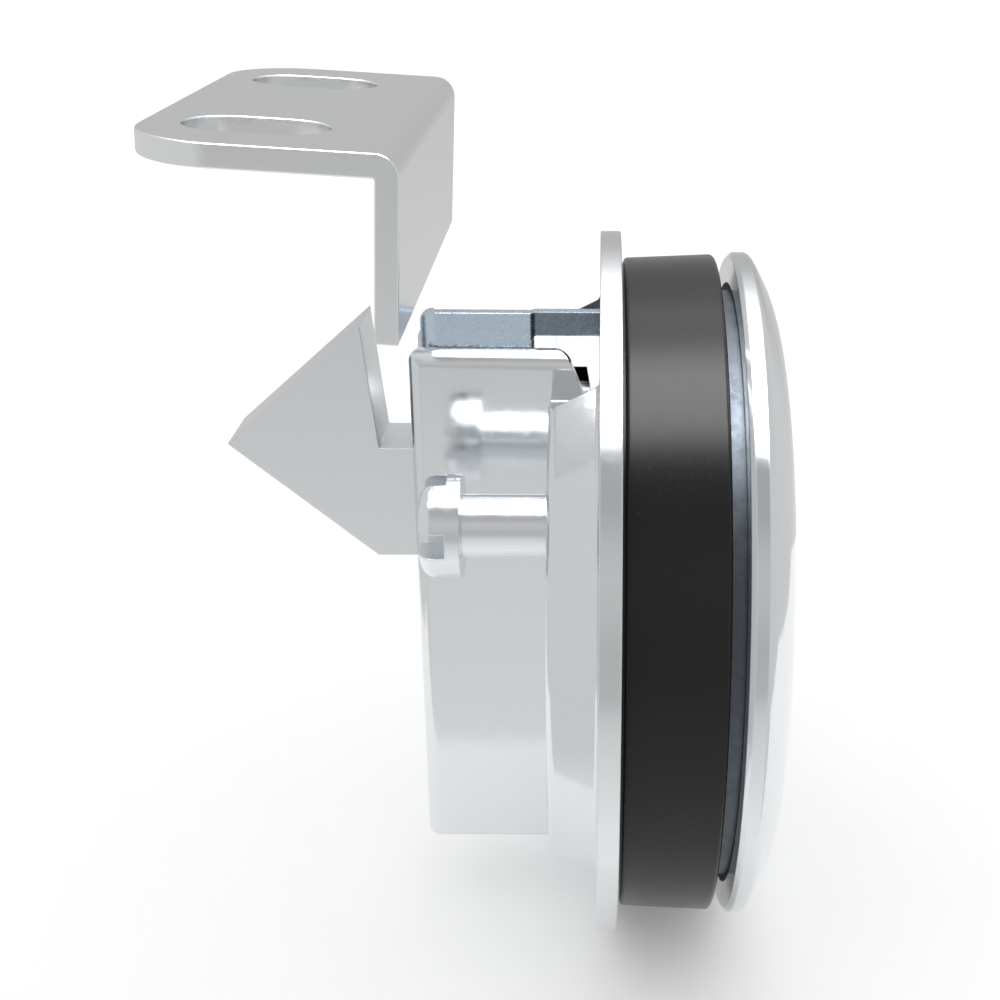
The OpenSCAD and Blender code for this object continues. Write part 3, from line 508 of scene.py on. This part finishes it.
def makeHousing(f):
    front, flange, boss, r = f["frontX"], f["flangeX"], f["bossX"], f["flangeR"]
    e, fillet, rim = f["bossEdge"], f["fillet"], 0.08
    profile = [(boss, 0)] + arc(boss + e, f["bossR"], e, 180, 113, 7) \
        + arc(flange - fillet, f["footR"] + fillet, fillet, -66, 0, 5) \
        + [(flange, r - rim), (flange + rim, r), (front - rim, r), (front, r - rim), (front, 0)]
    disc = lathe("bossAndFlange", profile, steps=200, closed=False)
    wide, low, high = f["valleyHalf"], f["valleyLow"], f["valleyHigh"]
    lift, floor = (high - low) / wide, low + 0.05
    valley = [(-wide, high), (0, low), (wide, high), (wide, r + 1), (-wide, r + 1)]
    combine(disc, "DIFFERENCE", slab("valley", valley, "face", boss - 2, flange - boss + 2))
    housing = makeHousingBox(f)
    combine(housing, "UNION", disc)
    hollow = bar("hollow", f["hollowX"], front + 1, "x", f["hollowR"], 0, 0, steps=120)
    sideways, height, hole = f["screw"]
    combine(hollow, "DIFFERENCE",
            block("core", (-40, -f["core"], -40), (0, f["core"], 40)),
            block("roof", (-40, -40, f["roof"]), (0, 40, 40)),
            *[bar("pillar", -20, 0, "x", f["pillar"], s * sideways, height) for s in (-1, 1)])
    slot, back, half = f["slot"], f["backX"], f["half"]
    cavityX, cavityLow, cavityHigh = f["cavity"]
    windowHalf, windowLow, windowHigh = f["window"]
    sideY, bore = f["retainer"]
    combine(housing, "DIFFERENCE", hollow,
            block("cavity", (cavityX, -slot, cavityLow), (front + 1, slot, cavityHigh)),
            block("openTop", (cavityX, -slot, cavityHigh - 1), (boss, slot, f["top"] + 2)),
            slab("farShoulder", [(-slot, floor + lift * slot), (0, floor), (6, floor + lift * 6),
                                 (6, f["top"] + 2), (-slot, f["top"] + 2)],
                 "face", f["farEnd"], flange - f["farEnd"]),
            block("boltOpening", (back - 1, -slot, f["opening"]), (cavityX + 1, slot, f["top"] + 2)),
            block("armWindow", (flange - 0.5, -windowHalf, windowLow),
                  (front + 1, windowHalf, windowHigh)),
            *[bar("clampHole", boss - 1, front + 1, "x", hole, s * sideways, height)
              for s in (-1, 1)],
            *[bar("retainerHole", front - 4.3, front + 1, "x", bore, s * sideY, z)
              for s in (-1, 1) for z in f["retainerZ"]],
            *[bar("guideBore", f["guide"][1], cavityLow + 1, "z", f["guide"][0], x, 0)
              for x in f["guideX"]])
    finishPiece(housing, polishedHousing, "housing", "rear_housing", slot="housing",
                angle=20)
    shoulderX, shoulderZ = f["shoulder"][:2]
    # painted shade: the shoulder faces behind the flange and the top of the valley's far wall get the dark
    # cast material, standing in for shade and dark reflection there
    paint(housing, castInsideAndPaintedShade, lambda p: shoulderX < p.x < flange - 0.4
          and ((p.z > shoulderZ - 0.1 and abs(p.y) < half) or (p.y > wide - 0.1 and p.z > high - 0.2)))
    return housing


makeHousing(housingForm)
print("rear housing made")


bezelForm = {
    "radius": 34, "bevel": 0.45, "seatR": 31, "floorX": 1.6,
    "dome": [(1.5, 34), (1.8, 33.88), (2.1, 33.55), (2.4, 33.05), (2.95, 32), (3.45, 31), (3.86, 30),
             (4.18, 29), (4.43, 28), (4.62, 27), (4.76, 26), (4.86, 25), (4.92, 24), (4.94, 22),
             (4.94, 0)],
    "pilot": (29.2, 30.2, -3),
    "opening": (38, 40, 9), "wall": 1.6, "wellX": -7.5, "window": (8.9, 9.5, 18.9),
    "hinge": (-4, 16), "bearing": (8.92, 2.1, 3.4), "pinBore": 1.51,
    "bumper": (4.8, 2.21, 0.7), "post": (18, 13.65, 5.2, -9.5), "insert": (3.91, 0.2),
    "edge": 0.3,
}


def openingOutline(width, height, r, top=None):
    # seen from the front; top cuts the outline off at a height
    w, h = width / 2 - r, height / 2 - r
    lower = arc(-w, -h, r, 180, 270, 12) + arc(w, -h, r, 270, 360, 12)
    if top is not None:
        return lower + [(w + r, top), (-w - r, top)]
    return lower + arc(w, h, r, 0, 90, 12) + arc(-w, h, r, 90, 180, 12)


def makeBezel(f):
    r, bevel, seat = f["radius"], f["bevel"], f["seatR"]
    inside, outside, depth = f["pilot"]
    profile = [(0.05, 0), (0.05, inside), (depth, inside), (depth, outside), (0.05, outside),
               (0.05, seat), (0, seat), (0, r - bevel), (bevel, r)] + f["dome"]
    bezel = lathe("domedBezel", profile, steps=220, closed=False)
    width, height, corner = f["opening"]
    wall, well = f["wall"], f["wellX"]
    combine(bezel, "DIFFERENCE",
            slab("openingCut", openingOutline(width, height, corner), "face", f["floorX"], 6))
    roundEdges(bezel, f["edge"], segments=3, angle=50)
    outer = openingOutline(width + 2 * wall, height + 2 * wall, corner + wall, wall)
    combine(bezel, "UNION", slab("pan", outer, "face", well - wall, -well + wall + 0.5))
    postY, postZ, postR, postX = f["post"]
    hingeX, hingeZ = f["hinge"]
    inner, width2, lug = f["bearing"]
    for s in (-1, 1):
        y = inner if s > 0 else -inner - width2
        combine(bezel, "UNION",
                bar("post", postX, 0.5, "x", postR, s * postY, postZ),
                bar("lug", y, y + width2, "y", lug, hingeX, hingeZ),
                block("lugFoot", (hingeX, y, hingeZ - lug), (0.5, y + width2, hingeZ + lug)))
    windowHalf, windowLow, windowHigh = f["window"]
    bumperZ, bumperR, bumperX = f["bumper"]
    combine(bezel, "DIFFERENCE",
            slab("wellCut", openingOutline(width, height, corner, 0), "face", well, 9.3),
            block("window", (-1, -windowHalf, windowLow), (2.6, windowHalf, windowHigh)),
            bar("bumperSeat", bumperX, 3, "x", bumperR, 0, bumperZ),
            bar("pinBore", -14, 14, "y", f["pinBore"], hingeX, hingeZ),
            *[bar("insertBore", postX - 1, f["insert"][1], "x", f["insert"][0], s * postY, postZ)
              for s in (-1, 1)])
    finishPiece(bezel, polishedBezel, "housing", "bezel", slot="polished")
    # the bezel's rear faces and the seat inside its rim get the dark cast material
    paint(bezel, castInsideAndPaintedShade, lambda p: p.x < -0.05 or (p.x < 0.06 and p.yz.length < seat))
    return bezel


makeBezel(bezelForm)
print("bezel made")


nodeFinish = {
    "paddle": polishedBezel,
    "contact_pin": brightScrew, "guide_pin_front": brightScrew, "guide_pin_rear": brightScrew,
    "bolt_spring_front": springWire, "bolt_spring_rear": springWire,
    "paddle_spring_near": springWire, "paddle_spring_far": springWire,
    "retainer_plate": armSteel, "retainer_screws": brightScrew, "thread_inserts": insertBrass,
    "paddle_pin": brightScrew, "pin_clips": springWire, "paddle_bumper": rubberPad,
    "arm_rivets": brightScrew,
}
for name, material in nodeFinish.items():
    for holder in nodes[name].material_slots:
        holder.material = material
print("CAD nodes dressed")


studio = {
    "floorZ": -36.3, "floorColor": (0.93, 0.93, 0.93), "worldLight": 1.0, "patch": 100, "patchFront": 40,
    "floorGlow": 0.13, "sideEnd": 0.6,
    "skyGain": 10, "sideLight": 0.7, "sideStart": 0.42,
    # the light seen in reflections, by the angle round X from the front horizon upwards
    "sky": [(-180, 0.51), (-160, 0.72), (-140, 0.85), (-100, 0.95), (-60, 0.94), (-45, 0.86), (-31, 0.78),
            (-20, 0.7), (-12, 0.54), (3, 0.51), (14, 0.57), (25, 0.6), (34, 0.57), (45, 0.46),
            (61, 0.45), (65, 0.6), (70, 4), (76, 10), (98, 10), (106, 6), (112, 2.7),
            (126, 2.7), (134, 1.4), (142, 0.95), (150, 0.7), (157, 0.57), (165, 0.52), (180, 0.51)],
}


def addFloor(name, corners, seen):
    floor = drawOutline(name, corners, planView(studio["floorZ"]))
    floor.data.materials.append(studioWhite)
    floor.visible_glossy = seen


def makeWorld(f):
    # reflections see a band of bright ceiling over a grey horizon; all else gets even white
    world = bpy.data.worlds.new("studioWorld")
    scene.world = world
    world.use_nodes = True
    tree, link = world.node_tree.nodes, world.node_tree.links.new
    backdrop = tree["Background"]
    backdrop.inputs["Color"].default_value = (1, 1, 1, 1)
    place = tree.new("ShaderNodeTexCoord")
    parts = tree.new("ShaderNodeSeparateXYZ")
    front = newMath(tree, "MULTIPLY", -1)
    angle = newMath(tree, "ARCTAN2")
    turn = newMath(tree, "MULTIPLY_ADD", 0.5 / math.pi, 0.5)
    ramp = tree.new("ShaderNodeValToRGB")
    stops = ramp.color_ramp.elements
    for height, level in f["sky"][1:-1]:
        stops.new(height / 360 + 0.5)
    for stop, (height, level) in zip(stops, f["sky"]):
        stop.color = (*[level / f["skyGain"]] * 3, 1)
    gain = newMath(tree, "MULTIPLY", f["skyGain"])
    side = newMath(tree, "ABSOLUTE")
    far = tree.new("ShaderNodeMapRange")
    far.inputs["From Min"].default_value = f["sideStart"]
    far.inputs["From Max"].default_value = f["sideEnd"]
    blend = newMix(tree)
    blend.inputs[3].default_value = f["sideLight"]
    path = tree.new("ShaderNodeLightPath")
    choice = newMix(tree)
    choice.inputs[2].default_value = f["worldLight"]
    link(place.outputs["Generated"], parts.inputs[0])
    link(parts.outputs["Y"], front.inputs[0])
    link(parts.outputs["Z"], angle.inputs[0])
    link(front.outputs[0], angle.inputs[1])
    link(angle.outputs[0], turn.inputs[0])
    link(turn.outputs[0], ramp.inputs["Fac"])
    link(ramp.outputs["Color"], gain.inputs[0])
    link(parts.outputs["X"], side.inputs[0])
    link(side.outputs[0], far.inputs["Value"])
    link(far.outputs["Result"], blend.inputs[0])
    link(gain.outputs[0], blend.inputs[2])
    link(blend.outputs[0], choice.inputs[3])
    link(path.outputs["Is Glossy Ray"], choice.inputs[0])
    link(choice.outputs[0], backdrop.inputs["Strength"])


def newMath(tree, operation, *values):
    # the values fill the node's second and later sockets
    node = tree.new("ShaderNodeMath")
    node.operation = operation
    for i, value in enumerate(values):
        node.inputs[i + 1].default_value = value
    return node


def newMix(tree):
    node = tree.new("ShaderNodeMix")
    node.data_type = "FLOAT"
    return node


def makeWhite(color, glow):
    material = bpy.data.materials.new("studioWhite")
    material.use_nodes = True
    shader = material.node_tree.nodes["Principled BSDF"]
    shader.inputs["Base Color"].default_value = (*color, 1)
    shader.inputs["Emission Color"].default_value = (1, 1, 1, 1)
    shader.inputs["Emission Strength"].default_value = glow
    shader.inputs["Roughness"].default_value = 0.9
    shader.inputs["Specular IOR Level"].default_value = 0.1
    return material


studioWhite = makeWhite(studio["floorColor"], studio["floorGlow"])
near, front, wide = studio["patch"], -studio["patchFront"], 6000
addFloor("floorPatch", [(-near, front), (near, front), (near, near), (-near, near)], True)
addFloor("floorFront", [(-wide, -wide), (wide, -wide), (wide, front), (-wide, front)], False)
addFloor("floorBack", [(-wide, near), (wide, near), (wide, wide), (-wide, wide)], False)
addFloor("floorLeft", [(-wide, front), (-near, front), (-near, near), (-wide, near)], False)
addFloor("floorRight", [(near, front), (wide, front), (wide, near), (near, near)], False)
makeWorld(studio)


cameraForm = {"place": (-12.81, -148.48, 67.92), "down": 24.546, "yaw": -0.071, "roll": 0.391,
              "focal": 1.54966, "shiftX": -0.1, "shiftY": 0.08}


def makeCamera(f):
    data = bpy.data.cameras.new("photoCamera")
    camera = bpy.data.objects.new("photoCamera", data)
    scene.collection.objects.link(camera)
    down, roll = math.radians(f["down"]), math.radians(f["roll"])
    turn = Matrix.Rotation(math.radians(f["yaw"]), 3, "Z")
    forward = turn @ Vector((0, math.cos(down), -math.sin(down)))
    right = turn @ Vector((1, 0, 0))
    up = right.cross(forward)
    sideways = right * math.cos(roll) + up * math.sin(roll)
    upward = up * math.cos(roll) - right * math.sin(roll)
    pose = Matrix((sideways, upward, -forward)).transposed().to_4x4()
    pose.translation = Vector(f["place"]) * mm
    camera.matrix_world = pose
    data.sensor_width = 36
    data.lens = 36 * f["focal"]
    data.shift_x, data.shift_y = f["shiftX"], f["shiftY"]
    data.clip_start, data.clip_end = 0.005, 50
    scene.camera = camera


makeCamera(cameraForm)
scene.view_settings.view_transform = "Standard"
print("studio made")
